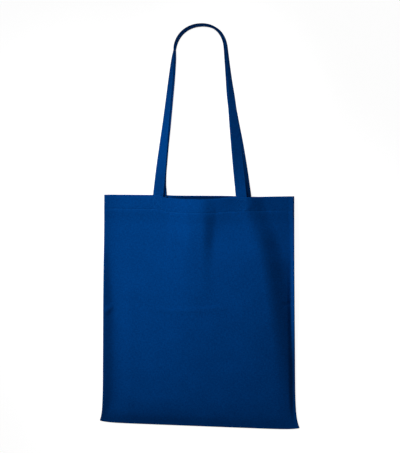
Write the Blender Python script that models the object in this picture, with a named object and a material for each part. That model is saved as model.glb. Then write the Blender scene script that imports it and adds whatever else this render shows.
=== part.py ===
# Woven cotton carrier bag with two long handles, lying on its back panel.
# The bag is one piece of cloth: folded at the bottom, seamed at both sides with the allowances turned
# inside, and hemmed at the mouth. Each handle is a folded cotton strap, sewn inside the hem at both
# ends, that turns on edge on its way to the crown of its loop.
# x runs across the bag, y from the bottom fold to the handles, and z out of the front panel.

import math

import bmesh
import bpy
import numpy as np
from mathutils import Vector
from mathutils.geometry import interpolate_bezier

# Sizes of the bag, in metres
BAG_HEIGHT = 0.424  # bottom fold to rim
RIM_WIDTH = 0.3483
BASE_WIDTH = 0.357  # just above the corners
CORNER_FLARE = 0.0075  # how much further out each bottom corner reaches
FLARE_HEIGHT = 0.021
CORNER_LIFT = 0.0020  # and how much higher it ends than the fold between the corners
CORNER_REACH = 0.014
SEAM_MARGIN = 0.010  # between a side seam and the first fold line
BELLY = 0.0214  # highest rise of the front panel over the closed bag
CLOTH = 0.0007
AIR = 0.0003  # between two layers that lie on each other
HEM_DEPTH = 0.025
SEAM_ALLOWANCE = 0.010
ALLOWANCE_THICKNESS = 0.0008  # two layers of cloth, pressed
ALLOWANCE_BEND = 0.005  # where the allowance bends on its way in from the seam
FOLD_HOLLOW = 0.0006  # inner radius of the bottom fold and of the side seams
SEAM_LIFT_REACH = 0.020  # how far in the back panel leaves the floor towards a side seam
FRONT_RIM_SAG = 0.0035  # the front rim hangs this much lower between the handles
BACK_RIM_SAG = 0.0048  # and the back rim, beside the right handle
BACK_SAG_PLACE = 0.105  # this far right of the bag's middle
BACK_SAG_REACH = 0.042

# Sizes of the handles, in metres
HANDLE_SPACING = 0.1533  # middle to middle, at the rim
HANDLE_SHIFT = 0.0034  # the pair sits this far right of the bag's middle
HANDLE_RISE = 0.308  # rim to crown
CROWN_WIDTH = 0.0944
CROWN_DEPTH = 0.042
CROWN_SHIFT = 0.0015  # the crown lies this far right of the pair's middle
CROWN_TOP_SHIFT = 0.003  # and its top lies further right
STRAP_WIDTH = 0.020
STRAP_THICKNESS = 0.0021  # the strip is folded, with its raw edges turned in
STRAP_SLIT = 0.008  # how deep the open edge of the folded strap goes in
STRAP_END_INSET = 0.001  # the sewn ends stop short of the hem's lower edge
STITCHED_GAP = 0.0004  # between the hem and a strap sewn to it
NEST_GAP = 0.0004  # between the two straps where they lie in each other
FLOOR_GAP = 0.0003
BACK_STRAP_SHIFT = 0.0068  # the back strap leaves the mouth this far right of the front one

# What follows from the sizes
FOLD_RADIUS = CLOTH + FOLD_HOLLOW
HEM_STACK = 2 * CLOTH + AIR
HEM_SEAM_RADIUS = HEM_STACK + AIR
RIM_RADIUS = HEM_STACK / 2
RIM_Y = BAG_HEIGHT - RIM_RADIUS
HEM_SHARE = 1 - HEM_DEPTH / RIM_Y
STRAP_DEPTH = HEM_STACK + STITCHED_GAP + STRAP_THICKNESS / 2

# The folds of the front panel. A guide is a fold line from the bottom fold to the rim, given at these
# shares of the height. Its place is in percent of half the width, and its height over the closed bag is
# in percent of the belly. The margins are in percent of the seam margin, in from a side seam.
LEVELS = (0.0, 0.05, 0.12, 0.29, 0.51, 0.71, 0.81, 0.94, 1.0)
LEFT_EDGE_RISE = (0, 13, 27, 34, 33, 23, 13, 6, 5)
LEFT_MARGIN = (120, 130, 160, 170, 150, 90, 90, 100, 100)
LEFT_MARGIN_RISE = (0, 5, 5, 6, 7, 10, 12, 9, 8)
FOLDS = (
    # name, places, rises, facets from the guide before it
    ("left slope", (-69,) * 9, (0, 17, 24, 25, 28, 28, 26, 22, 19), 3),
    ("left handle", (-33,) * 9, (0, 27, 42, 49, 57, 60, 57, 44, 38), 4),
    ("ridge foot", (-3,) * 9, (0, 33, 53, 69, 86, 92, 92, 77, 69), 3),
    ("ridge", (8,) * 9, (0, 34, 56, 74, 91, 97, 98, 86, 79), 2),
    ("hollow", (16, 16, 16, 16, 16, 16, 17, 18, 19), (0, 35, 58, 77, 91, 86, 74, 62, 60), 2),
    ("hollow side", (27, 27, 27, 27, 27, 27, 28, 31, 32), (0, 36, 61, 81, 95, 88, 76, 53, 52), 2),
    ("right handle", (50, 50, 50, 50, 50, 50, 48, 44, 42), (0, 36, 64, 87, 100, 94, 79, 50, 48), 3),
    ("flank top", (80, 80, 79, 77, 74, 68, 61, 53, 50), (0, 32, 54, 76, 90, 91, 75, 45, 42), 2),
    ("flank foot", (96, 96, 96, 96, 96, 92, 83, 71, 67), (0, 12, 18, 17, 14, 17, 19, 16, 15), 4),
)
RIGHT_MARGIN = (50, 50, 50, 50, 50, 70, 100, 125, 125)
RIGHT_MARGIN_RISE = (0, 8, 12, 12, 11, 15, 18, 14, 13)
RIGHT_EDGE_RISE = (0, 6, 8, 8, 16, 27, 27, 18, 13)
MARGIN_FACETS = 2
# Degrees round a side seam, from the front panel to the back one
SIDE_ARC = (20, 45, 70, 78, 84, 90, 96, 102, 110, 135, 160)
BACK_LIFT_SPANS = (0, 0.25, 0.5, 0.75, 1)  # facets of the back panel where it lifts
BACK_FLAT_FACETS = 6

# The turn of the handles, at these heights over the rim in percent of the rise: the angle of a strap's
# face in degrees, 0 flat and 90 on edge, and how much is left of the distance at the rim.
TURN_HEIGHTS = (-8, 0, 8, 16, 28, 45, 57, 68, 80, 88, 100)
LEFT_TURN = (0, 0, 3, 13, 29, 45, 51, 56, 66, 84, 90)
RIGHT_TURN = (0, 0, 9, 19, 32, 47, 58, 75, 84, 88, 90)
APART = (100, 100, 88, 68, 38, 14, 6, 4, 2, 0, 0)
LEFT_SHIFT = (80, 80, 24, 0, 0, 18, 20, 18, 8, 0, 0)
RIGHT_SHIFT = (100, 100, 107, 110, 104, 68, 34, 8, 0, 0, 0)

# Facets along the bag and the straps
LOW_ROWS = (0, 0.012, 0.026, 0.042, 0.06, 0.085)
MIDDLE_ROWS = 18
HEM_ROWS = 3
LEG_STATIONS = 23
CROWN_STATIONS = 9
SEWN_STATIONS = 4

NAVY = (0.0014, 0.040, 0.180, 1)
PERCENT = 0.01


def smooth_through(knots, values, at):
    """A curve through the knots that doesn't swing past them, read at the places in at."""
    knots = np.asarray(knots, float)
    values = np.asarray(values, float)
    step = np.diff(knots)
    rise = np.diff(values) / step
    before, after = 2 * step[1:] + step[:-1], step[1:] + 2 * step[:-1]
    same_way = rise[:-1] * rise[1:] > 0
    first, last = np.where(same_way, rise[:-1], 1), np.where(same_way, rise[1:], 1)
    slope = np.empty_like(values)
    slope[1:-1] = np.where(same_way, (before + after) / (before / first + after / last), 0)
    slope[0], slope[-1] = rise[0], rise[-1]
    i = np.clip(np.searchsorted(knots, at) - 1, 0, len(step) - 1)
    t = np.clip((at - knots[i]) / step[i], 0, 1)
    start = values[i] * (1 + 2 * t) + slope[i] * step[i] * t
    end = values[i + 1] * (3 - 2 * t) - slope[i + 1] * step[i] * (1 - t)
    return start * (1 - t) ** 2 + end * t**2


def at_level(values, share):
    return float(smooth_through(LEVELS, values, share))


def half_width(share):
    """Half the width at a share of the height: straight sides that flare at the bottom corners."""
    straight = BASE_WIDTH / 2 + (RIM_WIDTH - BASE_WIDTH) / 2 * share
    return straight + CORNER_FLARE * math.exp(-share * BAG_HEIGHT / FLARE_HEIGHT)


def seam_radius(share):
    """Outer radius of a side seam: wider at the hem, where two more layers turn the corner."""
    hem = smooth_through((0, 2 * HEM_SHARE - 1, HEM_SHARE, 1), (0, 0, 1, 1), share)
    return FOLD_RADIUS + (HEM_SEAM_RADIUS - FOLD_RADIUS) * float(hem)


def front_guides(share):
    """Where the guides cross one level of the bag: their places across it and their heights."""
    edge = half_width(share) - seam_radius(share)
    places = [-edge, -edge + at_level(LEFT_MARGIN, share) * PERCENT * SEAM_MARGIN]
    rises = [at_level(LEFT_EDGE_RISE, share), at_level(LEFT_MARGIN_RISE, share)]
    for _, place, rise, _ in FOLDS:
        places.append(at_level(place, share) * PERCENT * half_width(share))
        rises.append(at_level(rise, share))
    places += [edge - at_level(RIGHT_MARGIN, share) * PERCENT * SEAM_MARGIN, edge]
    rises += [at_level(RIGHT_MARGIN_RISE, share), at_level(RIGHT_EDGE_RISE, share)]
    heights = 2 * seam_radius(share) + BELLY * np.array(rises) * PERCENT
    return np.array(places), heights


def front_height(share, across):
    """Height of the front panel's outer face over the floor."""
    places, heights = front_guides(share)
    return smooth_through(places, heights, across)


def back_height(share, across):
    """Height of the back panel's outer face: on the floor, but lifted towards the side seams."""
    edge = half_width(share) - seam_radius(share)
    places, heights = front_guides(share)
    lift = np.where(np.asarray(across) < 0, heights[0], heights[-1]) - 2 * seam_radius(share)
    near = np.clip(1 - (edge - np.abs(across)) / SEAM_LIFT_REACH, 0, 1)
    return lift * near**2


def rim_drop(across, middle, reach):
    """Share of the rim's sag at a place across the bag."""
    return math.exp(-(((across - middle) / reach) ** 2))


def panel_point(share, across, height, sag):
    """A point of the bag's outside. The bottom corners are rounded, so they end a little higher."""
    lift = CORNER_LIFT * math.exp((abs(across) - BASE_WIDTH / 2 - share * RIM_Y / 2) / CORNER_REACH)
    return np.array((across, FOLD_RADIUS + (RIM_Y - FOLD_RADIUS - sag) * share + lift, height))


def front_columns(share):
    """Places of the facets across the front panel, which follow the fold lines."""
    guides, _ = front_guides(share)
    facets = [MARGIN_FACETS] + [fold[3] for fold in FOLDS] + [MARGIN_FACETS, MARGIN_FACETS]
    columns = []
    for start, end, count in zip(guides[:-1], guides[1:], facets):
        columns += [start + (end - start) * k / count for k in range(count)]
    return columns + [guides[-1]]


def back_columns(share):
    edge = half_width(share) - seam_radius(share)
    side = [edge - span * SEAM_LIFT_REACH for span in BACK_LIFT_SPANS]
    flat = [side[-1] * (1 - 2 * k / BACK_FLAT_FACETS) for k in range(1, BACK_FLAT_FACETS)]
    return side + flat + [-place for place in reversed(side)]


def outer_ring(share):
    """One closed section through the outside of the bag: front panel, right seam, back panel, left seam."""
    radius = seam_radius(share)
    half = half_width(share)
    ring = []
    for across in front_columns(share):
        sag = FRONT_RIM_SAG * rim_drop(across, HANDLE_SHIFT, HANDLE_SPACING / 2)
        ring.append(panel_point(share, across, float(front_height(share, across)), sag))
    _, heights = front_guides(share)
    right_sag = FRONT_RIM_SAG * rim_drop(half, HANDLE_SHIFT, HANDLE_SPACING / 2)
    left_sag = FRONT_RIM_SAG * rim_drop(-half, HANDLE_SHIFT, HANDLE_SPACING / 2)
    for angle in SIDE_ARC:
        out, up = math.sin(math.radians(angle)) * radius, math.cos(math.radians(angle)) * radius
        ring.append(panel_point(share, half - radius + out, heights[-1] - radius + up, right_sag))
    for across in back_columns(share):
        sag = BACK_RIM_SAG * rim_drop(across, BACK_SAG_PLACE, BACK_SAG_REACH)
        ring.append(panel_point(share, across, float(back_height(share, across)), sag))
    for angle in reversed(SIDE_ARC):
        out, up = math.sin(math.radians(angle)) * radius, math.cos(math.radians(angle)) * radius
        ring.append(panel_point(share, radius - half - out, heights[0] - radius + up, left_sag))
    return np.array(ring)


def outward(rows):
    """Unit normals of the bag's rings, which point straight out round the side seams, and the unit
    directions from ring to ring."""
    along = np.gradient(rows, axis=0)
    around = np.roll(rows, -1, axis=1) - np.roll(rows, 1, axis=1)
    normal = np.cross(around, along)
    normal /= np.linalg.norm(normal, axis=2, keepdims=True)
    front_count = len(front_columns(0))
    for k, angle in enumerate(SIDE_ARC):
        out, up = math.sin(math.radians(angle)), math.cos(math.radians(angle))
        normal[:, front_count + k] = out, 0, up
        normal[:, -1 - k] = -out, 0, up
    along = along / np.linalg.norm(along, axis=2, keepdims=True)
    return normal, along


def flat_ring(ring, thickness, radius, angle):
    """A ring of the bottom fold: the lowest section, closed down to the fold's arc at one angle."""
    turned = math.radians(angle)
    scale = thickness / 2 * math.cos(turned) / FOLD_RADIUS
    closed = ring.copy()
    closed[:, 2] = FOLD_RADIUS + (ring[:, 2] - FOLD_RADIUS) * scale
    closed[:, 1] -= radius * math.sin(turned)
    edge = half_width(0) - FOLD_RADIUS
    beyond = np.abs(ring[:, 0]) - edge
    closed[:, 0] = np.sign(ring[:, 0]) * (np.where(beyond > 0, edge + beyond * scale, np.abs(ring[:, 0])))
    return closed


def turn_in_allowances(ring, share, front_count, back_count):
    """Pulls the inner corners of a section in as the seam allowances, two layers of cloth each."""
    full_below = HEM_SHARE - SEAM_ALLOWANCE / BAG_HEIGHT
    full_above = 4 * SEAM_ALLOWANCE / BAG_HEIGHT
    levels = (0, full_above / 2, full_above, full_below, HEM_SHARE, 1)
    reach = float(smooth_through(levels, (0, 0, 1, 1, 0, 0), share))
    if reach <= 0:
        return ring
    half_layer = ALLOWANCE_THICKNESS / 2
    arcs = ((front_count, 1), (front_count + len(SIDE_ARC) + back_count, -1))
    for first, side in arcs:
        edge = half_width(share) - seam_radius(share)
        bend, tip = side * (edge - ALLOWANCE_BEND), side * (edge - SEAM_ALLOWANCE)
        at_bend, at_tip = [(front_height(share, x) + back_height(share, x)) / 2 for x in (bend, tip)]
        shape = [(bend, at_bend, half_layer), (tip, at_tip, half_layer), (tip - side * half_layer, at_tip, 0)]
        shape += [(tip, at_tip, -half_layer), (bend, at_bend, -half_layer)]
        if side < 0:
            shape.reverse()
        for k, (across, height, offset) in enumerate(shape, start=first + len(SIDE_ARC) // 2 - 2):
            target = np.array((across, ring[k, 1], height + offset))
            ring[k] += (target - ring[k]) * reach
    return ring


def bag_rings():
    """Every section of the bag's cloth in order: up the outside, over the rim, down the inside of the
    hem, up behind it, and down the inside of the panels to the bottom fold."""
    middle = np.linspace(LOW_ROWS[-1], HEM_SHARE, MIDDLE_ROWS + 1)[1:]
    hem = np.linspace(HEM_SHARE, 1, HEM_ROWS + 1)[1:]
    shares = [*LOW_ROWS, *middle, *hem]
    outside = np.array([outer_ring(share) for share in shares])
    normal, along = outward(outside)

    def at_depth(row, depth, beyond=0.0):
        return outside[row] - normal[row] * depth + along[row] * beyond

    front_count = len(front_columns(0))
    back_count = len(back_columns(0))
    top = len(shares) - 1
    hem_rows = range(top, top - HEM_ROWS - 1, -1)
    rings = [flat_ring(outside[0], 2 * FOLD_RADIUS, FOLD_RADIUS, angle) for angle in (80, 55, 28)]
    rings += list(outside)
    for angle in (45, 90, 135):
        turned = math.radians(angle)
        rings.append(at_depth(top, RIM_RADIUS * (1 - math.cos(turned)), RIM_RADIUS * math.sin(turned)))
    rings += [at_depth(row, HEM_STACK) for row in hem_rows]
    rings += [at_depth(row, CLOTH + AIR) for row in reversed(hem_rows)]
    rings.append(at_depth(top, CLOTH + AIR / 2, AIR / 2))
    for row in range(top, 0, -1):
        rings.append(turn_in_allowances(at_depth(row, CLOTH), shares[row], front_count, back_count))
    rings += [flat_ring(outside[0], 2 * FOLD_HOLLOW, FOLD_HOLLOW, angle) for angle in (0, 40, 75)]
    return rings


def close_across(mesh, ring):
    """Closes a long flat ring with a strip of triangles from its left end to its right one."""
    left = min(range(len(ring)), key=lambda k: ring[k].co.x)
    ring = ring[left:] + ring[:left]
    below, above = 0, len(ring) - 1
    while above - below > 1:
        if ring[below + 1].co.x < ring[above - 1].co.x:
            mesh.faces.new((ring[below], ring[below + 1], ring[above]))
            below += 1
        else:
            mesh.faces.new((ring[below], ring[above - 1], ring[above]))
            above -= 1


def loft(name, rings, flat_ends=False):
    """A closed solid through a row of closed sections, closed at both ends."""
    mesh = bmesh.new()
    rows = [[mesh.verts.new(Vector(point)) for point in ring] for ring in rings]
    for lower, upper in zip(rows[:-1], rows[1:]):
        for k in range(len(lower)):
            following = (k + 1) % len(lower)
            a, b, c, d = lower[k], lower[following], upper[following], upper[k]
            # Layers that lie on each other are split along the same diagonal, so that they stay apart
            if a.co.z + c.co.z >= b.co.z + d.co.z:
                mesh.faces.new((a, b, c))
                mesh.faces.new((a, c, d))
            else:
                mesh.faces.new((a, b, d))
                mesh.faces.new((b, c, d))
    for end in (rows[0], rows[-1]):
        if flat_ends:
            close_across(mesh, end)
        else:
            mesh.faces.new(end)
    bmesh.ops.recalc_face_normals(mesh, faces=mesh.faces)
    data = bpy.data.meshes.new(name)
    mesh.to_mesh(data)
    mesh.free()
    data.shade_smooth()
    data.set_sharp_from_angle(angle=math.radians(50))
    return bpy.data.objects.new(name, data)


def handle_course():
    """The middle line of a handle in the plane of the bag: up the left leg, round the crown, down the
    right leg. It begins and ends at the strap's sewn ends."""
    middle = HANDLE_SHIFT
    crown_middle = middle + CROWN_SHIFT
    top = crown_middle + CROWN_TOP_SHIFT
    foot, shoulder = HANDLE_SPACING / 2, CROWN_WIDTH / 2
    shoulder_rise = HANDLE_RISE - CROWN_DEPTH
    leg_pull = shoulder_rise / 3
    crown_pull_up, crown_pull_in = 0.55 * CROWN_DEPTH, 0.6 * shoulder
    sewn = HEM_DEPTH - STRAP_END_INSET
    points = []
    for side in (-1, 1):
        foot_point = Vector((middle + side * foot, 0, 0))
        shoulder_point = Vector((crown_middle + side * shoulder, shoulder_rise, 0))
        lean = (shoulder_point - foot_point) / shoulder_rise
        leg = interpolate_bezier(
            foot_point,
            foot_point + lean * leg_pull,
            shoulder_point - lean * leg_pull,
            shoulder_point,
            LEG_STATIONS,
        )
        crown = interpolate_bezier(
            shoulder_point,
            shoulder_point + lean * crown_pull_up,
            Vector((top + side * crown_pull_in, HANDLE_RISE, 0)),
            Vector((top, HANDLE_RISE, 0)),
            CROWN_STATIONS,
        )
        inside = [foot_point + Vector((0, -sewn * k / SEWN_STATIONS, 0)) for k in range(SEWN_STATIONS, 0, -1)]
        half = inside + leg + crown[1:]
        points += half if side < 0 else list(reversed(half))[1:]
    return np.array(points)[:, :2]


def strap_section():
    """The strap's folded section, as places across its width and through its thickness. One long edge is
    a fold and the other is open, a slit between the two layers."""
    width, thick = STRAP_WIDTH / 2, STRAP_THICKNESS / 2
    lip = AIR / 2
    fold = [(-width + thick * (1 - math.sin(a)), thick * math.cos(a)) for a in np.linspace(0, math.pi, 5)]
    upper = [(width, lip), (width - thick / 4, thick * 0.75), (width - thick, thick), (0, thick)]
    lower = [(across, -through) for across, through in reversed(upper)]
    return [(width - STRAP_SLIT, 0)] + upper + fold + lower


def handle(name, course, front):
    """One strap, twisted from flat at its sewn ends to on edge at the crown."""
    ends = np.gradient(course, axis=0)
    ahead = ends / np.linalg.norm(ends, axis=1, keepdims=True)
    crown_x = HANDLE_SHIFT + CROWN_SHIFT + CROWN_TOP_SHIFT
    section = strap_section()
    rings = []
    for (x, rise), (ahead_x, ahead_y) in zip(course, ahead):
        side = -1 if x < crown_x else 1
        inward = np.array((ahead_y, -ahead_x, 0))
        up = np.array((0, 0, 1.0))
        share = rise / HANDLE_RISE / PERCENT

        def turning(values):
            return float(smooth_through(TURN_HEIGHTS, values, share))

        level = min(1 + rise / RIM_Y, 1)
        inner = float(front_height(level, x - side * STRAP_WIDTH / 2))
        outer = float(front_height(level, x + side * STRAP_WIDTH / 2))
        tilt = math.atan((inner - outer) / STRAP_WIDTH) * turning(APART) * PERCENT
        back_angle = math.radians(turning(LEFT_TURN if side < 0 else RIGHT_TURN))
        front_angle = back_angle + tilt
        at_rim = (inner + outer) / 2 - STRAP_DEPTH
        back_at_rim = HEM_STACK + STITCHED_GAP + STRAP_THICKNESS / 2
        nested = STRAP_THICKNESS + NEST_GAP
        apart = nested + (at_rim - back_at_rim - nested) * turning(APART) * PERCENT
        edge_drop = STRAP_WIDTH / 2 * math.sin(back_angle) + STRAP_THICKNESS / 2 * math.cos(back_angle)
        lift = (back_at_rim - STRAP_THICKNESS / 2 - FLOOR_GAP) * turning(APART) * PERCENT
        back_z = FLOOR_GAP + lift + edge_drop
        shift = -side * BACK_STRAP_SHIFT * turning(LEFT_SHIFT if side < 0 else RIGHT_SHIFT) * PERCENT
        # The back strap lies apart from the front one along its face, and shifted along its width
        under = apart * math.cos(back_angle) - shift * math.sin(back_angle)
        inside = apart * math.sin(back_angle) + shift * math.cos(back_angle)
        if front:
            angle = front_angle
            centre = np.array((x, RIM_Y + rise, back_z + under))
        else:
            angle = back_angle
            centre = np.array((x, RIM_Y + rise, back_z)) + inward * inside
        across = inward * math.cos(angle) + up * math.sin(angle)
        face = up * math.cos(angle) - inward * math.sin(angle)
        rings.append([centre + across * w + face * t for w, t in section])
    return loft(name, rings)


def cotton(name):
    """Navy cotton: matt, with no metal."""
    material = bpy.data.materials.new(name)
    material.use_nodes = True
    shader = material.node_tree.nodes["Principled BSDF"]
    shader.inputs["Base Color"].default_value = NAVY
    shader.inputs["Roughness"].default_value = 0.9
    shader.inputs["Metallic"].default_value = 0.0
    material.diffuse_color = NAVY
    return material


def stand_on_origin(pieces):
    """Puts the middle of the pieces' common box over the origin, with its lowest point on the floor."""
    corners = np.array([vertex.co for piece in pieces for vertex in piece.data.vertices])
    low, high = corners.min(axis=0), corners.max(axis=0)
    frame = bpy.data.objects.new("bag_frame", None)
    frame.location = (-(low[0] + high[0]) / 2, -(low[1] + high[1]) / 2, -low[2])
    for piece in pieces:
        piece.parent = frame
    return frame


def main():
    for old in list(bpy.data.objects):
        bpy.data.objects.remove(old, do_unlink=True)
    collection = bpy.data.collections.new("cotton_bag")
    bpy.context.scene.collection.children.link(collection)
    course = handle_course()
    pieces = [
        loft("bag_body", bag_rings(), flat_ends=True),
        handle("front_handle", course, True),
        handle("back_handle", course, False),
    ]
    for piece in pieces:
        piece.data.materials.append(cotton(piece.name + "_cotton"))
        collection.objects.link(piece)
    collection.objects.link(stand_on_origin(pieces))


main()
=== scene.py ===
# %% [markdown]
# # A plain navy cotton tote bag
# The bag is sewn from one piece of plain-woven cotton. The cloth is folded at the bottom, seamed at both
# sides and hemmed at the mouth, and two folded straps are sewn inside the hem. It lies on its back panel
# with its handles stretched out, and the air left inside it puffs the front panel a little.
#
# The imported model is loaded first. It gives every piece its place and its room.

import math

import bpy
import numpy as np
from mathutils import Matrix, Vector
from mathutils.geometry import interpolate_bezier


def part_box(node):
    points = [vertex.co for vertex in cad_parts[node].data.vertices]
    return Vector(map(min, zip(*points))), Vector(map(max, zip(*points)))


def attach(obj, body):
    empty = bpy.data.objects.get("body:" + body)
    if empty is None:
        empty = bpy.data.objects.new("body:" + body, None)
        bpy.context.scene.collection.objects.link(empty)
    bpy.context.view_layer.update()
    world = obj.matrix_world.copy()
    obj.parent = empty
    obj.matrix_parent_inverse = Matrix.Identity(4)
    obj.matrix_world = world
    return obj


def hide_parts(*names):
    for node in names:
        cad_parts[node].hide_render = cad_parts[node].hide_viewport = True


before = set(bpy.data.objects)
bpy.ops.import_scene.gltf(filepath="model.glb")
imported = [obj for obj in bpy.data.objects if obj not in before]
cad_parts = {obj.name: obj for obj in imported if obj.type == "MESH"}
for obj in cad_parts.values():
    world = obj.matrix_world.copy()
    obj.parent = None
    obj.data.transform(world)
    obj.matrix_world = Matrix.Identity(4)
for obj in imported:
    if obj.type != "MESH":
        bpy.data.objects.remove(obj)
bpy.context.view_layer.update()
body_low, body_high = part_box("bag_body")
print("nodes:", sorted(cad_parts))

# %% [markdown]
# ## Sizes
# Cloth is sewn to measured sizes, so the lesson starts with them: the bag's height and width, the depth
# of the hem, the thickness of the cotton. The main ones are the same as the model's. `FOLD_Y` is where
# the bottom fold lies in the frame, and every height on the bag is counted from it.

# %% Sizes of the bag and its straps, in metres
BAG_HEIGHT = 0.424
RIM_WIDTH = 0.3483
BASE_WIDTH = 0.357
CORNER_FLARE = 0.0075  # how much wider the bag is at each bottom corner
FLARE_HEIGHT = 0.021
CORNER_LIFT = 0.0020  # how much higher the bottom corners end
CORNER_REACH = 0.014
BELLY = 0.0214  # the height that the guides' percentages are of
CLOTH = 0.0007
AIR = 0.0003  # between two layers of cloth
HEM_DEPTH = 0.025
SEAM_RADIUS = CLOTH + 0.0006
HEM_STACK = 2 * CLOTH + AIR  # a panel and the hem behind it
HEM_SEAM_RADIUS = HEM_STACK + AIR
RIM_TOP = BAG_HEIGHT - HEM_STACK / 2
SEAM_LIFT_REACH = 0.013  # how far in from the seams the back panel lifts
BACK_RIM_CURL = 0.0045
BACK_CURL_DEPTH = 0.010
BACK_CURL_HALF = 0.052  # half the width of the curl
SEAM_MARGIN = 0.010
STITCH_ROW = RIM_TOP - HEM_DEPTH

HANDLE_SPACING = 0.1533
HANDLE_SHIFT = 0.0034
HANDLE_RISE = 0.308
CROWN_WIDTH = 0.0944
CROWN_DEPTH = 0.042
CROWN_SHIFT = 0.0015
CROWN_TOP_SHIFT = 0.003
STRAP_WIDTH = 0.020
STRAP_THICKNESS = 0.0021
SEWN_END = HEM_DEPTH - 0.001  # how much of a strap lies behind the hem
STITCHED_GAP = 0.0004  # between a strap and the hem
NEST_GAP = 0.0004  # between the two straps at the crown
FLOOR_GAP = 0.0003
BACK_STRAP_SHIFT = 0.0068  # how far the two straps lie apart sideways at 100 percent

FOLD_Y = body_low[1]
MM = 0.001
print("bottom fold at y %.4f, rim at y %.4f" % (FOLD_Y, FOLD_Y + RIM_TOP))

# %% [markdown]
# ## Camera
# The photograph is taken from far above and a little from the right, so the floor fills the picture. The
# camera is placed by two points, its eye and what it looks at, and the bag's height points up in the
# picture. A long lens keeps the bag's sides nearly parallel, as they are in the photograph.

# %% Camera
EYE = Vector((0.3391, FOLD_Y + RIM_TOP + 0.1151, 2.134))
LOOK_AT = Vector((0.0028, FOLD_Y + RIM_TOP - 0.0547, 0.0))
VIEW_ANGLE = 21.5
SENSOR_HEIGHT = 24

bpy.ops.object.select_all(action="DESELECT")
forward = (LOOK_AT - EYE).normalized()
rightward = forward.cross(Vector((0, 1, 0))).normalized()
upward = rightward.cross(forward)
turn = Matrix((rightward, upward, -forward)).transposed().to_euler()
bpy.ops.object.camera_add(location=EYE, rotation=turn)
camera = bpy.context.active_object
camera.name = "camera"
camera.data.sensor_fit = "VERTICAL"
camera.data.sensor_height = SENSOR_HEIGHT
camera.data.lens = SENSOR_HEIGHT / 2 / math.tan(math.radians(VIEW_ANGLE / 2))
bpy.context.scene.camera = camera
print("lens %.1f mm" % camera.data.lens)

# %% [markdown]
# ## Light
# A small lamp stands beyond the mouth on the left, low over the floor, with its cone on the bag. Light
# that rakes over cloth like this shows each fold, and because the lamp is near, the lower right of the bag
# gets less of it. The handles stand on edge and would catch too much of that light, so they have a lamp of
# their own, nearly overhead. The world fills the shadows a little.

# %% Lamps and world
FILL_LEVEL = 0.16


def add_lamp(name, place, aim, power, cone, soft_edge, size):
    """A round lamp with a cone of light, aimed at a point."""
    bpy.ops.object.light_add(type="SPOT", location=place)
    lamp = bpy.context.active_object
    lamp.name = name
    lamp.rotation_euler = (aim - place).to_track_quat("-Z", "Y").to_euler()
    lamp.data.energy = power
    lamp.data.spot_size = math.radians(cone)
    lamp.data.spot_blend = soft_edge
    lamp.data.shadow_soft_size = size / 2


BAG_LAMP = Vector((-0.75, FOLD_Y + 1.12, 0.70))
BAG_AIM = Vector((0.06, FOLD_Y + 0.165, 0.02))
HANDLE_LAMP = Vector((0.06, FOLD_Y + 0.80, 1.20))
HANDLE_AIM = Vector((0.03, FOLD_Y + 0.59, 0.0))
add_lamp("bag_lamp", BAG_LAMP, BAG_AIM, power=98, cone=31, soft_edge=0.6, size=0.35)
add_lamp("handle_lamp", HANDLE_LAMP, HANDLE_AIM, power=40, cone=16.5, soft_edge=1.0, size=0.2)

scene = bpy.context.scene
scene.view_settings.view_transform = "Standard"
world = bpy.data.worlds.new("studio")
scene.world = world

# %% [markdown]
# ## Shader sums
# A cloth pattern is mostly arithmetic: waves for the threads, noise for their unevenness, sums of both.
# This small class lets that be written as ordinary Python. Each sum adds one Math node. `Nodes.make` puts
# any other node into the tree, sets its choices first and then fills its inputs. `Nodes.add` does the
# same and gives what comes out of the node.


# %% Shader helpers
class Number:
    """A number that varies over the surface, as a socket of a node."""

    def __init__(self, nodes, socket):
        self.nodes = nodes
        self.socket = socket

    def maths(self, operation, *others):
        return self.nodes.add("ShaderNodeMath", {"operation": operation}, self, *others)

    def __add__(self, other):
        return self.maths("ADD", other)

    def __sub__(self, other):
        return self.maths("SUBTRACT", other)

    def __mul__(self, other):
        return self.maths("MULTIPLY", other)

    def larger(self, other):
        return self.maths("MAXIMUM", other)

    def wave(self, length):
        """A sine wave of this length."""
        return (self * (2 * math.pi / length)).maths("SINE")


class Nodes:
    """The nodes of one material or world."""

    def __init__(self, owner):
        owner.use_nodes = True
        self.tree = owner.node_tree
        self.tree.nodes.clear()

    def make(self, kind, settings=None, *values, **named):
        """A new node. Its inputs are filled in order, or by name with _ for a space."""
        node = self.tree.nodes.new(kind)
        for name, setting in (settings or {}).items():
            setattr(node, name, setting)
        inputs = list(enumerate(values))
        inputs += [(name.replace("_", " "), value) for name, value in named.items()]
        for key, value in inputs:
            if isinstance(value, Number):
                self.tree.links.new(value.socket, node.inputs[key])
            else:
                node.inputs[key].default_value = value
        return node

    def add(self, kind, settings=None, *values, **named):
        return self.out(self.make(kind, settings, *values, **named), 0)

    def out(self, node, key):
        """What comes out of a node at the output with this name or number."""
        return Number(self, node.outputs[key])


def colour_between(nodes, low, high, share):
    """A colour that goes from low to high as the share goes from 0 to 1."""
    mix = nodes.make("ShaderNodeMix", {"data_type": "RGBA"}, share)
    mix.inputs[6].default_value, mix.inputs[7].default_value = low, high
    return nodes.out(mix, 2)


# %% Finish the world
def seen_directly(nodes):
    """1 for what the camera sees itself, mirrored or through something clear, and 0 for light on the bag."""
    ray = nodes.make("ShaderNodeLightPath")
    mirrored, through = nodes.out(ray, "Is Glossy Ray"), nodes.out(ray, "Is Transmission Ray")
    return nodes.out(ray, "Is Camera Ray").larger(mirrored).larger(through)


studio = Nodes(world)
level = seen_directly(studio) * (1 - FILL_LEVEL) + FILL_LEVEL
background = studio.add("ShaderNodeBackground", None, (1, 1, 1, 1), level)
studio.make("ShaderNodeOutputWorld", None, background)

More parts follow.
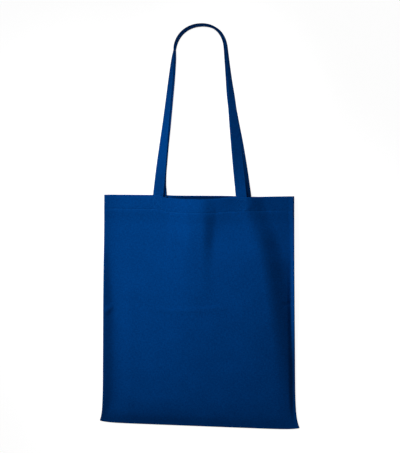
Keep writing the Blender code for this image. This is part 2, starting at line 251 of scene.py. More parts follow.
# %% [markdown]
# ## Floor
# The bag lies on a plain sheet of paper, as for a catalogue. The paper takes the bag's soft shadow. Seen
# by the camera it glows, which keeps it nearly white, and only a trace of the shadow shows, as in the
# photograph. The glow adds no light to the bag.

# %% Floor
PAPER_SIZE = 12
PAPER_GREY = 0.3
PAPER_GLOW = 0.92

bpy.ops.object.select_all(action="DESELECT")
bpy.ops.mesh.primitive_plane_add(size=PAPER_SIZE, location=(0, 0, 0))
paper = bpy.context.active_object
paper.name = "paper"
paper.data.materials.append(bpy.data.materials.new("white_paper"))
paper_nodes = Nodes(paper.data.materials[0])
white = paper_nodes.add(
    "ShaderNodeBsdfPrincipled",
    None,
    Base_Color=(PAPER_GREY, PAPER_GREY, PAPER_GREY, 1),
    Roughness=0.9,
    Emission_Color=(1, 1, 1, 1),
    Emission_Strength=seen_directly(paper_nodes) * PAPER_GLOW,
)
paper_nodes.make("ShaderNodeOutputMaterial", None, white)

# %% [markdown]
# ## The folds of the front panel
# The front panel is not flat. A ridge runs down from the mouth between the handles with a hollow beside
# it, a long slanting fold falls from the right handle to the right seam, and both seams curl up a little.
# Such a panel can be draped by a cloth simulation, but then the folds fall where they like. Here each
# fold line is a guide from the bottom fold to the rim, and a curve through the guides gives the height at
# any place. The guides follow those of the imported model, in finer detail, and single wrinkles are added
# to them below.

# %% Fold guides
# Heights on the bag, as shares of the rim's height, where every guide has a value
LEVELS = (0.0, 0.05, 0.12, 0.29, 0.51, 0.71, 0.81, 0.94, 1.0)
# The margins are places in percent of the seam margin, and the rises heights in percent of the belly
LEFT_EDGE_RISE = (0, 22, 36, 40, 40, 29, 16, 12, 11)
LEFT_MARGIN = (120, 135, 175, 190, 180, 110, 90, 100, 100)
LEFT_MARGIN_RISE = (0, 13, 14, 13, 11, 12, 12, 9, 8)
FOLDS = {
    # name: places in percent of half the width, heights in percent of the belly
    "left slope": ((-69,) * 9, (0, 26, 38, 42, 41, 37, 33, 24, 14)),
    "left handle": ((-33,) * 9, (0, 33, 52, 63, 67, 63, 55, 37, 27)),
    "ridge foot": ((-7,) * 9, (0, 31, 52, 72, 86, 92, 92, 79, 71)),
    "ridge": ((6,) * 9, (0, 31, 52, 74, 89, 97, 99, 90, 84)),
    "hollow": ((18, 18, 18, 18, 18, 18, 19, 21, 20), (0, 31, 52, 74, 92, 88, 73, 59, 68)),
    "hollow side": ((29, 29, 29, 29, 29, 29, 29, 34, 34), (0, 30, 53, 75, 92, 89, 73, 52, 64)),
    "right handle": ((50, 50, 50, 50, 50, 50, 48, 44, 43), (0, 29, 52, 79, 95, 93, 77, 52, 60)),
    "flank top": ((80, 80, 80, 79, 73, 67, 61, 52, 51), (0, 26, 46, 70, 91, 96, 83, 56, 60)),
    "flank foot": ((95, 95, 94.5, 94, 92.5, 91, 86, 74, 70), (0, 16, 28, 32, 28, 13, 6, 8, 17)),
}
RIGHT_MARGIN = (50, 50, 50, 50, 50, 50, 60, 90, 100)
RIGHT_MARGIN_RISE = (0, 9, 12, 13, 8, 3, 3, 5, 9)
RIGHT_EDGE_RISE = (0, 5, 6, 8, 24, 32, 30, 20, 12)
# How much lower the rims hang than their ends, at these places across the bag, all in millimetres
RIM_PLACES = (-175, -78, -66, -57, -40, -12, 12, 36, 55, 75, 105, 140, 175)
FRONT_RIM_DROP = (0, 0.1, 1.8, 5.0, 5.9, 6.6, 6.6, 5.0, 3.6, 2.4, 1.8, 1.0, 0.2)
BACK_RIM_DROP = (0, 0, 0, 0.1, 0.2, 0.1, 0, 0, 0.4, 1.4, 1.8, 1.0, 0.2)


# %% Curves through the guides
def smooth_through(knots, values, at):
    """A curve through the knots that doesn't swing past them, read at the places in at."""
    knots, values = np.asarray(knots, float), np.asarray(values, float)
    step = np.diff(knots)
    rise = np.diff(values) / step
    before, after = 2 * step[1:] + step[:-1], step[1:] + 2 * step[:-1]
    same_way = rise[:-1] * rise[1:] > 0
    first, last = np.where(same_way, rise[:-1], 1), np.where(same_way, rise[1:], 1)
    slope = np.empty_like(values)
    slope[1:-1] = np.where(same_way, (before + after) / (before / first + after / last), 0)
    slope[0], slope[-1] = rise[0], rise[-1]
    i = np.clip(np.searchsorted(knots, at) - 1, 0, len(step) - 1)
    t = np.clip((at - knots[i]) / step[i], 0, 1)
    start = values[i] * (1 + 2 * t) + slope[i] * step[i] * t
    end = values[i + 1] * (3 - 2 * t) - slope[i + 1] * step[i] * (1 - t)
    return start * (1 - t) ** 2 + end * t**2


def at_level(values, share):
    """A guide's value at this share of the bag's height."""
    return float(smooth_through(LEVELS, values, share))


def half_width(share):
    """Straight sides that flare at the bottom corners."""
    straight = BASE_WIDTH / 2 + (RIM_WIDTH - BASE_WIDTH) / 2 * share
    return straight + CORNER_FLARE * math.exp(-share * BAG_HEIGHT / FLARE_HEIGHT)


def seam_radius(share):
    """The side seams are thicker along the hem, where the cloth is double."""
    hem = 1 - HEM_DEPTH / RIM_TOP
    doubled = float(smooth_through((0, 2 * hem - 1, hem, 1), (0, 0, 1, 1), share))
    return SEAM_RADIUS + (HEM_SEAM_RADIUS - SEAM_RADIUS) * doubled


def rim_sag(drops, share, x):
    """How far a panel hangs down at x on one level, because its rim does."""
    return smooth_through(RIM_PLACES, drops, x / MM) * MM * share**2


def guides_at(share):
    """Where the guides cross one level of the bag, and how high they are there."""
    edge = half_width(share) - seam_radius(share)
    places = [-edge, -edge + at_level(LEFT_MARGIN, share) / 100 * SEAM_MARGIN]
    rises = [at_level(LEFT_EDGE_RISE, share), at_level(LEFT_MARGIN_RISE, share)]
    for place, rise in FOLDS.values():
        places.append(at_level(place, share) / 100 * half_width(share))
        rises.append(at_level(rise, share))
    places += [edge - at_level(RIGHT_MARGIN, share) / 100 * SEAM_MARGIN, edge]
    rises += [at_level(RIGHT_MARGIN_RISE, share), at_level(RIGHT_EDGE_RISE, share)]
    return np.array(places), 2 * seam_radius(share) + BELLY * np.array(rises) / 100


def guided_height(share, x):
    """Height over the floor that the guides alone give the front panel."""
    places, heights = guides_at(share)
    return smooth_through(places, heights, x)


def back_height(share, x):
    """The back panel lies on the floor, lifts towards the side seams and curls up at the mouth."""
    edge = half_width(share) - seam_radius(share)
    heights = guides_at(share)[1]
    lift = np.where(np.asarray(x) < 0, heights[0], heights[-1]) - 2 * seam_radius(share)
    near = np.clip(1 - (edge - np.abs(x)) / SEAM_LIFT_REACH, 0, 1)
    under_rim = np.clip(1 - (1 - share) * RIM_TOP / BACK_CURL_DEPTH, 0, 1)
    between_handles = np.exp(-((np.abs(x) / BACK_CURL_HALF) ** 6))
    return lift * near**2 + BACK_RIM_CURL * under_rim**2 * between_handles


# %% [markdown]
# ## Finer wrinkles
# Cotton that was folded in a packet keeps soft creases, and sewing pulls it into small puckers. Each
# wrinkle is one line on the panel: a ridge where its height is positive and a groove where it is negative,
# strongest in the middle and fading towards both ends. The hem's row of stitches lies in a groove of its
# own, and the cloth beside it is gathered into small puckers.

# %% Wrinkle lines
WRINKLES = (
    # x and y of one end, x and y of the other, height and half width, all in millimetres
    (-177, 203, -157, 221, 1.5, 5),
    (-120, 214, 60, 218, 0.55, 4),
    (-20, 221, 72, 224, 0.45, 3),
    (150, 227, 173, 232, -0.7, 3),
    (-88, 398, -74, 404, -0.5, 2),
    (-74, 404, -58, 395, -0.5, 2),
    (80, 395, 100, 411, 0.6, 2.5),
    (58, 402, 72, 396, -0.4, 2),
    (-47, 296, -45, 420, 0.7, 9),
    (-12, 306, -10, 420, 0.4, 9),
)
GROOVE_DEPTH = 0.00036
GROOVE_WIDTH = 0.0012
PUCKER_HEIGHT = 0.00014
PUCKER_REACH = 0.006
PUCKER_LENGTHS = (0.013, 0.021)


def wrinkle_height(x, y):
    """What all the wrinkle lines add at the places x, y of the front panel."""
    x, y = np.asarray(x) / MM, np.asarray(y) / MM
    total = np.zeros(np.broadcast(x, y).shape)
    for x0, y0, x1, y1, height, width in WRINKLES:
        length = math.hypot(x1 - x0, y1 - y0)
        along = ((x - x0) * (x1 - x0) + (y - y0) * (y1 - y0)) / length**2
        off = ((y - y0) * (x1 - x0) - (x - x0) * (y1 - y0)) / length
        fade = np.clip(4 * along * (1 - along), 0, 1)
        total += height * fade * np.exp(-((off / width) ** 2))
    return total * MM


def front_height(share, x):
    """Height of the front panel's face over the floor, with its wrinkles and the hem's stitched groove."""
    y = share * RIM_TOP
    groove = GROOVE_DEPTH * math.exp(-(((y - STITCH_ROW) / GROOVE_WIDTH) ** 2))
    waves = sum(np.sin(2 * math.pi * np.asarray(x) / length) for length in PUCKER_LENGTHS)
    pucker = PUCKER_HEIGHT * waves * math.exp(-(((y - STITCH_ROW) / PUCKER_REACH) ** 2))
    return guided_height(share, x) + wrinkle_height(x, y) + pucker - groove


# %% [markdown]
# ## The bag's cloth
# On the sewing table the cloth is a flat rectangle. It is folded in half, its sides are closed, and its
# top edge is turned in for the hem. The mesh is made the same way: a flat grid is added, and each of its
# rows is wrapped once round the bag: over the front panel, round the right seam, back under the back
# panel and round the left seam. The rows go from the bottom fold up to the rim, turn over it and come down
# inside as the hem. A Solidify modifier then gives the sheet the thickness of the cotton.

# %% Rows and columns of the cloth
PANEL_COLUMNS = 120
SEAM_ANGLES = (22.5, 45, 67.5, 90, 112.5, 135, 157.5)
FOLD_ANGLES = (90, 60, 30)
RIM_ANGLES = (45, 90, 135)
CROWDING = 0.28  # how strongly the columns crowd towards the seams


def across_panel(count):
    """Places across a panel from -1 to 1, closer together near the seams."""
    t = np.linspace(-1, 1, count)
    return (1 - CROWDING) * t + CROWDING * np.sin(t * math.pi / 2)


def row_heights():
    """Heights of the rows over the bottom fold, closer together at the fold, the stitch row and the rim.
    They are counted in millimetres until the last line."""
    low = [0, 0.6, 1.5, 3, 5, 8, 12, 16]
    stitch = STITCH_ROW / MM + np.array((-4.2, -2.8, -1.8, -1.0, -0.4, 0.15, 0.7, 1.3, 2.1, 3.1, 4.5))
    middle = np.linspace(20, stitch[0] - 1.8, 124)
    top = list(np.linspace(stitch[-1] + 2, RIM_TOP / MM - 3, 7)) + [RIM_TOP / MM - 1.2, RIM_TOP / MM]
    return np.concatenate([low, middle, stitch, top]) * MM


def corner_lift(x, y):
    """The bottom corners are rounded: they end a little higher than the fold between them."""
    return CORNER_LIFT * np.exp((np.abs(x) - BASE_WIDTH / 2) / CORNER_REACH - y / CORNER_REACH / 2)


def wrapped_row(y):
    """One row of the cloth's middle surface, wrapped round the bag."""
    share = y / RIM_TOP
    radius, half = seam_radius(share), half_width(share)
    edge = half - radius
    heights = guides_at(share)[1]
    x = across_panel(PANEL_COLUMNS) * edge
    front_y = y - rim_sag(FRONT_RIM_DROP, share, x)
    front = np.stack([x, front_y, front_height(share, x) - CLOTH / 2], -1)
    x = x[::-1]
    back_y = y - rim_sag(BACK_RIM_DROP, share, x)
    back = np.stack([x, back_y, back_height(share, x) + CLOTH / 2], -1)
    row = list(front)
    thin = radius - CLOTH / 2
    for angle in np.radians(SEAM_ANGLES):
        row.append((edge + math.sin(angle) * thin, y, heights[-1] - radius + math.cos(angle) * thin))
    row += list(back)
    for angle in np.radians(SEAM_ANGLES[::-1]):
        row.append((-edge - math.sin(angle) * thin, y, heights[0] - radius + math.cos(angle) * thin))
    row.append(row[0])
    row = np.array(row)
    row[:, 1] += corner_lift(row[:, 0], y)
    return row


def row_normals(rows):
    """At every point, the direction out of the cloth and the direction along it towards the rim."""
    along = np.gradient(rows, axis=0)
    inner = rows[:, :-1]
    around = np.roll(inner, -1, axis=1) - np.roll(inner, 1, axis=1)
    normal = np.cross(around, along[:, :-1])
    normal /= np.linalg.norm(normal, axis=2, keepdims=True)
    along /= np.linalg.norm(along, axis=2, keepdims=True)
    return np.concatenate([normal, normal[:, :1]], axis=1), along


outside_y = row_heights()
outside = np.array([wrapped_row(y) for y in outside_y])
normals, upwards = row_normals(outside)
print("cloth rows", len(outside), "columns", outside.shape[1])

# %% Bottom fold, rim and hem
def fold_row(angle):
    """A row of the bottom fold: the lowest row, closed down to the fold's arc."""
    turned = math.radians(angle)
    radius = SEAM_RADIUS - CLOTH / 2
    row = outside[0].copy()
    row[:, 2] = SEAM_RADIUS + (row[:, 2] - SEAM_RADIUS) * math.cos(turned)
    row[:, 1] -= radius * math.sin(turned)
    edge = half_width(0) - SEAM_RADIUS
    beyond = np.abs(row[:, 0]) - edge
    row[:, 0] = np.sign(row[:, 0]) * np.where(beyond > 0, edge + beyond * math.cos(turned), np.abs(row[:, 0]))
    return row


hem_layer = CLOTH + AIR
hem_start = int(np.argmin(np.abs(outside_y - STITCH_ROW)))
rows = [fold_row(angle) for angle in FOLD_ANGLES] + list(outside)
for angle in np.radians(RIM_ANGLES):
    inward = normals[-1] * hem_layer / 2 * (1 - math.cos(angle))
    rows.append(outside[-1] - inward + upwards[-1] * hem_layer / 2 * math.sin(angle))
rows += list((outside - normals * hem_layer)[hem_start:][::-1])
rows = np.array(rows)
rows[:, :, 1] += SEAM_RADIUS + FOLD_Y
print("rows with fold and hem", len(rows))


# %% Lay the grid
MERGE_DISTANCE = 0.00001


def only(piece):
    """Selects one piece and nothing else, ready for the next operator."""
    bpy.ops.object.select_all(action="DESELECT")
    piece.select_set(True)
    bpy.context.view_layer.objects.active = piece


def lay_grid(name, points):
    """A flat grid whose rows and columns are moved to these points. Its UV map is the cloth itself, in
    metres: u across the cloth and v along it."""
    row_count, column_count = points.shape[:2]
    bpy.ops.object.select_all(action="DESELECT")
    bpy.ops.mesh.primitive_grid_add(x_subdivisions=column_count - 1, y_subdivisions=row_count - 1, size=1)
    piece = bpy.context.active_object
    piece.name = name
    mesh = piece.data
    flat = np.empty(len(mesh.vertices) * 3)
    mesh.vertices.foreach_get("co", flat)
    flat = flat.reshape(-1, 3)
    column = np.rint((flat[:, 0] + 0.5) * (column_count - 1)).astype(int)
    row = np.rint((flat[:, 1] + 0.5) * (row_count - 1)).astype(int)
    mesh.vertices.foreach_set("co", points[row, column].ravel())
    steps_across = np.linalg.norm(np.diff(points, axis=1), axis=2)
    steps_along = np.linalg.norm(np.diff(points, axis=0), axis=2)
    u = np.concatenate([[0], np.cumsum(steps_across.mean(axis=0))])
    v = np.concatenate([[0], np.cumsum(steps_along.mean(axis=1))])
    corner = np.empty(len(mesh.loops), int)
    mesh.loops.foreach_get("vertex_index", corner)
    uv = np.stack([u[column[corner]], v[row[corner]]], -1)
    mesh.uv_layers.active.data.foreach_set("uv", uv.ravel())
    mesh.update()
    return piece


def close_and_smooth(piece, angle, fill_ends=False):
    """Merges the rows and columns that meet, fills open ends where asked, points the faces outwards and
    shades the piece smooth, apart from edges sharper than the angle."""
    only(piece)
    bpy.ops.object.mode_set(mode="EDIT")
    bpy.ops.mesh.select_all(action="SELECT")
    bpy.ops.mesh.remove_doubles(threshold=MERGE_DISTANCE)
    if fill_ends:
        bpy.ops.mesh.select_all(action="DESELECT")
        bpy.ops.mesh.select_mode(type="EDGE")
        bpy.ops.mesh.select_non_manifold(extend=False)
        bpy.ops.mesh.fill()
        bpy.ops.mesh.select_all(action="SELECT")
    bpy.ops.mesh.normals_make_consistent(inside=False)
    bpy.ops.object.mode_set(mode="OBJECT")
    bpy.ops.object.shade_smooth_by_angle(angle=math.radians(angle))


def apply_modifier(piece, kind, **settings):
    only(piece)
    modifier = piece.modifiers.new(kind.lower(), kind)
    for name, value in settings.items():
        setattr(modifier, name, value)
    bpy.ops.object.modifier_apply(modifier=modifier.name)


bag_cloth = lay_grid("bag_cloth", rows)
close_and_smooth(bag_cloth, 60)
apply_modifier(bag_cloth, "SOLIDIFY", thickness=CLOTH, offset=0)
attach(bag_cloth, "root")
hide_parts("bag_body")
print("bag cloth faces", len(bag_cloth.data.polygons))

# %% [markdown]
# ## The handles
# A handle is a strip of the same cotton, folded lengthwise and stitched. Both ends lie flat, sewn to the
# inside of the hem. On its way up the strap turns until it stands on edge at the crown, where the back
# strap lies inside the front one. The middle line is drawn by Bezier curves, and the strap's section is
# carried along it and turned. The section is open at one long edge, where the two layers show.

# %% Middle line of the handles
LEG_STATIONS = 110
CROWN_STATIONS = 48
SEWN_STATIONS = 10
SHOULDER_PULL = 0.55  # how long the crown keeps the legs' direction, as a share of its depth
TOP_PULL = 0.6  # how long it runs straight across at the top, as a share of half its width


def handle_course():
    """The middle line of a handle in the plane of the bag, counted from the rim."""
    crown_x = HANDLE_SHIFT + CROWN_SHIFT
    top_x = crown_x + CROWN_TOP_SHIFT
    foot, shoulder = HANDLE_SPACING / 2, CROWN_WIDTH / 2
    shoulder_rise = HANDLE_RISE - CROWN_DEPTH
    points = []
    for side in (-1, 1):
        low = Vector((HANDLE_SHIFT + side * foot, 0, 0))
        high = Vector((crown_x + side * shoulder, shoulder_rise, 0))
        lean = (high - low) / shoulder_rise
        third = lean * shoulder_rise / 3
        leg = interpolate_bezier(low, low + third, high - third, high, LEG_STATIONS)
        crown = interpolate_bezier(
            high,
            high + lean * SHOULDER_PULL * CROWN_DEPTH,
            Vector((top_x + side * TOP_PULL * shoulder, HANDLE_RISE, 0)),
            Vector((top_x, HANDLE_RISE, 0)),
            CROWN_STATIONS,
        )
        inside = [low - Vector((0, SEWN_END * k / SEWN_STATIONS, 0)) for k in range(SEWN_STATIONS, 0, -1)]
        half = inside + leg + crown[1:]
        points += half if side < 0 else list(reversed(half))[1:]
    return np.array(points)[:, :2]


course = handle_course()
ahead = np.gradient(course, axis=0)
ahead /= np.linalg.norm(ahead, axis=1, keepdims=True)

# %% Turn of the handles
# Heights over the rim in percent of the handle's rise, and at each of them, for the left and right leg:
# the turn in degrees, how far the straps are still apart in percent, and their sideways shift in percent
TURN_HEIGHTS = (-8, 0, 8, 16, 28, 45, 57, 68, 80, 88, 100)
LEFT_TURN = (0, 0, 3, 13, 29, 45, 51, 56, 66, 84, 90)
RIGHT_TURN = (0, 0, 9, 19, 32, 47, 58, 75, 84, 88, 90)
LEFT_APART = (100, 100, 88, 68, 38, 14, 6, 4, 2, 0, 0)
RIGHT_APART = (100, 100, 62, 36, 20, 12, 6, 4, 2, 0, 0)
LEFT_SHIFT = (80, 80, 24, 0, 0, 18, 20, 18, 8, 0, 0)
RIGHT_SHIFT = (100, 100, 107, 110, 104, 68, 34, 8, 0, 0, 0)


def at_rise(values, rise):
    """A leg's value at this height over the rim."""
    return float(smooth_through(TURN_HEIGHTS, values, rise / HANDLE_RISE * 100))


def strap_axes(front):
    """Centre, width direction and face direction of a strap at every station of its course."""
    stations = []
    for (x, rise), (ahead_x, ahead_y) in zip(course, ahead):
        side = -1 if x < HANDLE_SHIFT + CROWN_SHIFT + CROWN_TOP_SHIFT else 1
        inward, up = np.array((ahead_y, -ahead_x, 0)), np.array((0, 0, 1.0))
        level = min(1 + rise / RIM_TOP, 1)
        inner = float(guided_height(level, x - side * STRAP_WIDTH / 2))
        outer = float(guided_height(level, x + side * STRAP_WIDTH / 2))
        still_apart = at_rise(LEFT_APART if side < 0 else RIGHT_APART, rise) / 100
        tilt = math.atan((inner - outer) / STRAP_WIDTH) * still_apart
        back_angle = math.radians(at_rise(LEFT_TURN if side < 0 else RIGHT_TURN, rise))
        front_angle = back_angle + tilt
        at_rim = (inner + outer) / 2 - HEM_STACK - STITCHED_GAP - STRAP_THICKNESS / 2
        back_at_rim = HEM_STACK + STITCHED_GAP + STRAP_THICKNESS / 2
        nested = STRAP_THICKNESS + NEST_GAP
        apart = nested + (at_rim - back_at_rim - nested) * still_apart
        edge_drop = STRAP_WIDTH / 2 * math.sin(back_angle) + STRAP_THICKNESS / 2 * math.cos(back_angle)
        lift = (back_at_rim - STRAP_THICKNESS / 2 - FLOOR_GAP) * still_apart
        back_z = FLOOR_GAP + lift + edge_drop
        shift = -side * BACK_STRAP_SHIFT * at_rise(LEFT_SHIFT if side < 0 else RIGHT_SHIFT, rise) / 100
        under = apart * math.cos(back_angle) - shift * math.sin(back_angle)
        inside = apart * math.sin(back_angle) + shift * math.cos(back_angle)
        place = np.array((x, FOLD_Y + RIM_TOP + rise, back_z))
        angle = front_angle if front else back_angle
        centre = place + up * under if front else place + inward * inside
        across = inward * math.cos(angle) + up * math.sin(angle)
        facing = up * math.cos(angle) - inward * math.sin(angle)
        stations.append((centre, across, facing))
    return stations


# %% Section of a strap
def strap_section():
    """Across and through: round the folded edge, and into the slit between the layers at the open one."""
    width, thick, lip = STRAP_WIDTH / 2, STRAP_THICKNESS / 2, AIR / 3
    fold = [(-width + thick * (1 - math.sin(a)), thick * math.cos(a)) for a in np.linspace(0, math.pi, 7)]
    upper = [(width - 0.0002, lip), (width, 0.4 * thick)]
    upper += [(width - 0.0003, 0.85 * thick), (width - 0.0009, thick)]
    upper += [(w * width, thick) for w in (0.6, 0.3, 0, -0.3, -0.6)]
    lower = [(w, -t) for w, t in reversed(upper)]
    slit = [(-0.6 * width, -lip * 0.6), (-0.8 * width, 0), (-0.6 * width, lip * 0.6)]
    section = upper + fold + lower + slit
    return section + [section[0]]


def make_strap(name, node, front):
    """Carries the section along the handle's course."""
    section = np.array(strap_section())
    points = [[c + a * w + f * t for w, t in section] for c, a, f in strap_axes(front)]
    strap = lay_grid(name, np.array(points))
    close_and_smooth(strap, 50, fill_ends=True)
    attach(strap, "root")
    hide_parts(node)
    return strap


front_strap = make_strap("front_strap", "front_handle", True)
back_strap = make_strap("back_strap", "back_handle", False)
print("strap faces", len(front_strap.data.polygons))

# %% [markdown]
# ## Cotton
# Plain weave: warp threads run along the bag and weft threads across it, each over and under the next in
# turn. The pattern reads the cloth's own UV map, which is in metres, so the threads follow every fold.
# Each thread is a little lighter or darker than its neighbours along part of its length. Cotton is matt,
# with a soft sheen where the fibres stand up against the light.

# %% Cotton material
NAVY = (0.0001, 0.038, 0.180, 1)
DEEP_NAVY = (0.0001, 0.031, 0.150, 1)
LIGHT_NAVY = tuple(2 * middle - deep for middle, deep in zip(NAVY, DEEP_NAVY))
THREAD_PITCH = 0.00065
STREAK_FINE, STREAK_LONG = 1100, 150  # streaks per metre, across a thread and along it
GRAIN_SCALE = 330
CLOUD_SCALE = 28
# How much each pattern changes the colour, and how much it raises the surface
STREAK_TONE, GRAIN_TONE, CLOUD_TONE, WEAVE_TONE = 1.1, 1.4, 0.5, 0.08
STREAK_RELIEF, GRAIN_RELIEF, CLOUD_RELIEF, WEAVE_RELIEF = 0.6, 1.2, 2, 0.5


def cotton(name):
    """Plain-woven navy cotton."""
    material = bpy.data.materials.new(name)
    nodes = Nodes(material)
    place = nodes.out(nodes.make("ShaderNodeUVMap", {"uv_map": "UVMap"}), "UV")
    split = nodes.make("ShaderNodeSeparateXYZ", None, place)
    weave = nodes.out(split, "X").wave(2 * THREAD_PITCH) * nodes.out(split, "Y").wave(2 * THREAD_PITCH)

    def streaks(across, along, detail=1.0):
        stretched = nodes.add("ShaderNodeMapping", None, place, Scale=(across, along, 1))
        flat = {"noise_dimensions": "2D"}
        return nodes.add("ShaderNodeTexNoise", flat, stretched, Scale=1.0, Detail=detail)

    warp, weft = streaks(STREAK_FINE, STREAK_LONG), streaks(STREAK_LONG, STREAK_FINE)
    grain = streaks(GRAIN_SCALE, GRAIN_SCALE, 2.0)
    cloudy = streaks(CLOUD_SCALE, CLOUD_SCALE, 2.0)
    threads = (warp - 0.5) * STREAK_TONE + (weft - 0.5) * STREAK_TONE
    tone = threads + (grain - 0.5) * GRAIN_TONE + (cloudy - 0.5) * CLOUD_TONE + 0.5 + weave * WEAVE_TONE
    relief = weave * WEAVE_RELIEF + (warp + weft) * STREAK_RELIEF
    relief = relief + grain * GRAIN_RELIEF + cloudy * CLOUD_RELIEF
    surface = nodes.add(
        "ShaderNodeBsdfPrincipled",
        None,
        Base_Color=colour_between(nodes, DEEP_NAVY, LIGHT_NAVY, tone),
        Roughness=0.86,
        Specular_IOR_Level=0.01,
        Sheen_Weight=0.05,
        Sheen_Roughness=0.6,
        Sheen_Tint=(0.0, 0.22, 1.0, 1),
        Normal=nodes.add("ShaderNodeBump", None, Strength=0.35, Distance=0.0002, Height=relief),
    )
    nodes.make("ShaderNodeOutputMaterial", None, surface)
    return material


navy_cotton = cotton("navy_cotton")
for piece in (bag_cloth, front_strap, back_strap):
    piece.data.materials.append(navy_cotton)

# %% [markdown]
# ## Sewing thread
# A sewing machine leaves a row of short stitches, each a bit of thread that dips into the cloth at both
# ends. The thread is a shade lighter than the cloth. One stitch is modelled, and copies of it are laid
# along each seam: along the hem, in a box with a cross at each strap end, and along both edges of the
# straps.

# %% Thread material
THREAD_BLUE = (0.0006, 0.072, 0.300, 1)
# How dark the painted shade in the grooves of the twist is, as a share of the thread's blue
THREAD_SHADE = 0.75
TWIST_LENGTH = 0.25  # as a share of a stitch


def sewing_thread(name):
    """Twisted thread, with painted shade darkening the grooves of its twist."""
    material = bpy.data.materials.new(name)
    nodes = Nodes(material)
    place = nodes.out(nodes.make("ShaderNodeUVMap", {"uv_map": "UVMap"}), "UV")
    split = nodes.make("ShaderNodeSeparateXYZ", None, place)
    twist = (nodes.out(split, "X") + nodes.out(split, "Y") * 2).wave(TWIST_LENGTH)
    # The grooves of the twist get painted shade: the colour darkens where the bump is lowest
    painted_groove_blue = tuple(THREAD_SHADE * part for part in THREAD_BLUE[:3]) + (1,)
    surface = nodes.add(
        "ShaderNodeBsdfPrincipled",
        None,
        Base_Color=colour_between(nodes, painted_groove_blue, THREAD_BLUE, twist * 0.5 + 0.5),
        Roughness=0.6,
        Specular_IOR_Level=0.03,
        Normal=nodes.add("ShaderNodeBump", None, Strength=0.4, Distance=0.00005, Height=twist),
    )
    nodes.make("ShaderNodeOutputMaterial", None, surface)
    return material


# %% One stitch
STITCH_LENGTH = 0.0026
STITCH_PITCH = 0.0030
THREAD_WIDTH = 0.0006
THREAD_HEIGHT = 0.0003
ALONG_X = (0, math.pi / 2, 0)

bpy.ops.object.select_all(action="DESELECT")
bpy.ops.mesh.primitive_uv_sphere_add(
    segments=8, ring_count=5, radius=0.5, location=(0, 0, 0), rotation=ALONG_X
)
stitch = bpy.context.active_object
bpy.ops.object.transform_apply(location=False, rotation=True, scale=False)
bpy.ops.object.mode_set(mode="EDIT")
bpy.ops.transform.resize(value=(STITCH_LENGTH, THREAD_WIDTH, THREAD_HEIGHT))
bpy.ops.object.mode_set(mode="OBJECT")
bpy.ops.object.shade_smooth()
stitch.data.materials.append(sewing_thread("navy_thread"))
print("stitch vertices", len(stitch.data.vertices))

# %% Rows of stitches
def seam_points(points, pitch=STITCH_PITCH):
    """Centres and directions of the stitches along a line of points."""
    points = np.asarray(points, float)
    run = np.concatenate([[0], np.cumsum(np.linalg.norm(np.diff(points, axis=0), axis=1))])
    count = max(1, round(run[-1] / pitch))
    marks = np.linspace(0, run[-1], count + 1)
    ends = np.stack([np.interp(marks, run, points[:, axis]) for axis in range(3)], -1)
    return (ends[1:] + ends[:-1]) / 2, np.diff(ends, axis=0)


def sew(name, seams):
    """Lays copies of the stitch along the seams and joins them. A seam is its points and face directions."""
    copies = []
    for points, faces in seams:
        centres, ways = seam_points(points)
        nearest = np.linspace(0, len(faces) - 1, len(centres)).round().astype(int)
        for centre, way, face in zip(centres, ways, np.asarray(faces)[nearest]):
            along = Vector(way).normalized()
            side = Vector(face).cross(along).normalized()
            up = along.cross(side)
            copy = bpy.data.objects.new(name, stitch.data.copy())
            turned = Matrix((along, side, up)).transposed().to_4x4()
            copy.data.transform(Matrix.Translation(Vector(centre)) @ turned)
            bpy.context.collection.objects.link(copy)
            copies.append(copy)
    bpy.ops.object.select_all(action="DESELECT")
    for copy in copies:
        copy.select_set(True)
    bpy.context.view_layer.objects.active = copies[0]
    bpy.ops.object.join()
    thread = bpy.context.active_object
    thread.name = name
    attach(thread, "root")
    print(name, len(copies), "stitches")
    return thread


# %% Seams on the panels
THREAD_SUNK = 0.00004
SLOPE_REACH = 0.0005  # how far off a place its slope is measured
SEAM_STEPS = 24
BOX_INSET = 0.0025  # from a strap's long edges
BOX_MARGIN = 0.003  # from the stitch row and from the rim
HEM_ENDS = 0.004  # where the hem's row ends, from the side seams


def on_front(x, y):
    """A place of the front panel's face, given by its x and its height over the fold."""
    share = y / RIM_TOP
    height = float(front_height(share, x)) + THREAD_SUNK
    return Vector((x, y - rim_sag(FRONT_RIM_DROP, share, x) + SEAM_RADIUS + FOLD_Y, height))


def on_back(x, y):
    """The same for the back panel."""
    share = y / RIM_TOP
    height = float(back_height(share, x)) + THREAD_HEIGHT / 2
    return Vector((x, y - rim_sag(BACK_RIM_DROP, share, x) + SEAM_RADIUS + FOLD_Y, height))


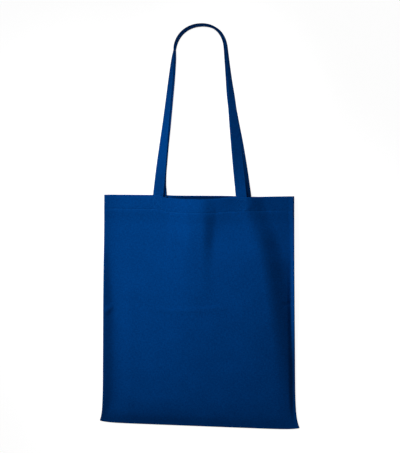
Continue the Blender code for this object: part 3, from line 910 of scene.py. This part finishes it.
def seam_on(surface, places):
    """A seam over a panel: its points and the directions that its face looks in."""
    points, faces = [], []
    for (x0, y0), (x1, y1) in zip(places[:-1], places[1:]):
        for t in np.linspace(0, 1, SEAM_STEPS, endpoint=False):
            x, y = x0 + (x1 - x0) * t, y0 + (y1 - y0) * t
            points.append(surface(x, y))
            across = surface(x + SLOPE_REACH, y) - surface(x - SLOPE_REACH, y)
            along = surface(x, y + SLOPE_REACH) - surface(x, y - SLOPE_REACH)
            faces.append(across.cross(along).normalized())
    points.append(surface(*places[-1]))
    faces.append(faces[-1])
    return points, faces


def box_and_cross(surface, middle):
    """The seams that hold a strap end: round a box and over one diagonal, then the other diagonal."""
    half, low, high = STRAP_WIDTH / 2 - BOX_INSET, STITCH_ROW + BOX_MARGIN, RIM_TOP - BOX_MARGIN
    corners = [(middle - half, low), (middle + half, low), (middle + half, high), (middle - half, high)]
    order = [0, 1, 2, 3, 0, 2], [1, 3]
    return [seam_on(surface, [corners[k] for k in run]) for run in order]


def panel_seams(surface):
    """The hem's row and the seams of both strap ends."""
    reach = RIM_WIDTH / 2 - HEM_ENDS
    seams = [seam_on(surface, [(x, STITCH_ROW) for x in np.linspace(-reach, reach, 9)])]
    for side in (-1, 1):
        seams += box_and_cross(surface, HANDLE_SHIFT + side * HANDLE_SPACING / 2)
    return seams


front_hem_thread = sew("front_hem_thread", panel_seams(on_front))
back_hem_thread = sew("back_hem_thread", panel_seams(on_back))

# %% Sew the straps
EDGE_ROW = STRAP_WIDTH / 2 - 0.0018


def strap_seams(front):
    """Both faces of a strap have a row of stitches along each long edge."""
    axes = strap_axes(front)[SEWN_STATIONS:-SEWN_STATIONS]
    seams = []
    for edge in (-EDGE_ROW, EDGE_ROW):
        for side in (-1, 1):
            depth = side * (STRAP_THICKNESS / 2 + THREAD_SUNK)
            seams.append(([c + a * edge + f * depth for c, a, f in axes], [f * side for c, a, f in axes]))
    return seams


front_strap_thread = sew("front_strap_thread", strap_seams(True))
back_strap_thread = sew("back_strap_thread", strap_seams(False))
only(stitch)
bpy.ops.object.delete()
